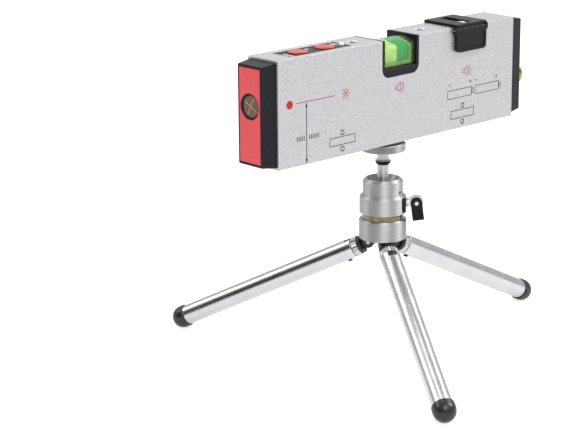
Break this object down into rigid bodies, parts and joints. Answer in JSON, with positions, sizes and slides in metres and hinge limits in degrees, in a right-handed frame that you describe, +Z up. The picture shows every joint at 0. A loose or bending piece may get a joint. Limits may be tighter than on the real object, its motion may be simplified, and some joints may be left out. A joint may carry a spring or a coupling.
{
  "type": "laser spirit level on mini tripod",
  "caption": "Cross-line laser spirit level with magnetic base and green vial, on a ball-head mini tripod with folding legs.",
  "frame": {"origin": "on the ground under the middle of the whole object", "axes": "+Z up; +X along the level from its laser end to its battery end, and along the first tripod leg; -Y is the marked front side"},
  "size_m": [0.1962, 0.1928, 0.1572],
  "materials": {
    "turned_aluminium": "bright turned and satin",
    "leg_tube": "polished drawn tube",
    "housing_aluminium": "fine blasted, natural anodised",
    "dark_steel": "blackened",
    "bright_steel": "bright plated",
    "brass": "turned",
    "fibre": "brown fibre washer",
    "foot_rubber": "smooth, slightly glossy",
    "pad_rubber": "matt",
    "black_plastic": "satin moulded",
    "nylon": "natural",
    "red_plate": "glossy",
    "red_button": "satin",
    "lens_amber": "clear amber",
    "vial_acrylic": "clear acrylic, yellow-green tint",
    "vial_liquid": "clear emerald green liquid",
    "cell_jacket": "plain printed jacket",
    "circuit_board": "solder mask",
    "led_lens": "diffused",
    "magnet_steel": "nickel plated"
  },
  "bodies": {
    "tripod": {"hub_ring": "turned_aluminium", "leg_yoke": "dark_steel", "hub_bolt": "bright_steel", "head_washer": "fibre", "leg_pins": "bright_steel", "head_socket": "turned_aluminium", "head_cap": "turned_aluminium", "ball_seat": "nylon", "set_screw": "dark_steel", "clamp_insert": "black_plastic"},
    "leg_1": {"leg_tube_1": "leg_tube", "leg_tongue_1": "dark_steel", "leg_rivet_1": "dark_steel", "leg_foot_1": "foot_rubber"},
    "leg_2": {"leg_tube_2": "leg_tube", "leg_tongue_2": "dark_steel", "leg_rivet_2": "dark_steel", "leg_foot_2": "foot_rubber"},
    "leg_3": {"leg_tube_3": "leg_tube", "leg_tongue_3": "dark_steel", "leg_rivet_3": "dark_steel", "leg_foot_3": "foot_rubber"},
    "clamp": {"clamp_screw": "bright_steel", "key_pin": "bright_steel"},
    "key": {"clamp_key": "black_plastic"},
    "ball_joint": {"ball": "bright_steel"},
    "mount": {"stem": "bright_steel", "mount_disc": "turned_aluminium", "disc_pad": "pad_rubber", "mount_stud": "bright_steel"},
    "level": {"housing": "housing_aluminium", "front_cap": "black_plastic", "front_plate": "red_plate", "lens_bezel": "black_plastic", "beam_lens": "lens_amber", "laser_barrel": "brass", "rear_cap": "black_plastic", "battery_tube": "black_plastic", "battery_cells": "cell_jacket", "battery_spring": "bright_steel", "battery_contact": "brass", "vial_frame": "black_plastic", "vial_block": "vial_acrylic", "vial_liquid": "vial_liquid", "top_screws": "dark_steel", "keypad_bezel": "black_plastic", "status_led": "led_lens", "main_board": "circuit_board", "switches": "black_plastic", "buzzer": "black_plastic", "saddle": "black_plastic", "flap_pin": "bright_steel", "plumb_carrier": "black_plastic", "plumb_vial": "vial_acrylic", "magnets": "magnet_steel", "tripod_bush": "brass"},
    "power_button": {"button_power": "red_button"},
    "mode_button": {"button_mode": "red_button"},
    "vial_flap": {"flap": "black_plastic"},
    "plug": {"battery_plug": "brass"}
  },
  "joints": [
    {"name": "leg_fold_1", "type": "hinge", "parent": "tripod", "child": "leg_1", "pos_m": [-0.00581, 0, 0.05373], "axis": [0, 1, 0], "range_deg": [0, 60]},
    {"name": "leg_fold_2", "type": "hinge", "parent": "tripod", "child": "leg_2", "pos_m": [-0.01557, 0.00563, 0.05373], "axis": [-0.866, -0.5, 0], "range_deg": [0, 60]},
    {"name": "leg_fold_3", "type": "hinge", "parent": "tripod", "child": "leg_3", "pos_m": [-0.01557, -0.00563, 0.05373], "axis": [0.866, -0.5, 0], "range_deg": [0, 60]},
    {"name": "ball_roll", "type": "hinge", "parent": "tripod", "child": "ball_joint", "pos_m": [-0.01231, 0, 0.07813], "axis": [1, 0, 0], "range_deg": [-20, 20]},
    {"name": "ball_pitch", "type": "hinge", "parent": "ball_joint", "child": "mount", "pos_m": [-0.01231, 0, 0.07813], "axis": [0, 1, 0], "range_deg": [-20, 20]},
    {"name": "level_turn", "type": "hinge", "parent": "mount", "child": "level", "pos_m": [-0.01231, 0, 0.10813], "axis": [0, 0, 1], "continuous": true},
    {"name": "clamp_turn", "type": "hinge", "parent": "tripod", "child": "clamp", "pos_m": [-0.00347, -0.00811, 0.07363], "axis": [0.7373, -0.6756, 0], "range_deg": [0, 270]},
    {"name": "key_flip", "type": "hinge", "parent": "clamp", "child": "key", "pos_m": [-0.0003, -0.01101, 0.07363], "axis": [-0.6756, -0.7373, 0], "range_deg": [0, 170]},
    {"name": "power_press", "type": "slide", "parent": "level", "child": "power_button", "axis": [0, 0, -1], "range_m": [0, 0.0008], "stiffness_N_per_m": 600, "springref_m": -0.0006},
    {"name": "mode_press", "type": "slide", "parent": "level", "child": "mode_button", "axis": [0, 0, -1], "range_m": [0, 0.0008], "stiffness_N_per_m": 600, "springref_m": -0.0006},
    {"name": "flap_swing", "type": "hinge", "parent": "level", "child": "vial_flap", "pos_m": [0.03748, -0.01115, 0.15463], "axis": [-1, 0, 0], "range_deg": [0, 105]},
    {"name": "plug_turn", "type": "hinge", "parent": "level", "child": "plug", "pos_m": [0.07018, 0, 0.12433], "axis": [1, 0, 0], "continuous": true}
  ]
}
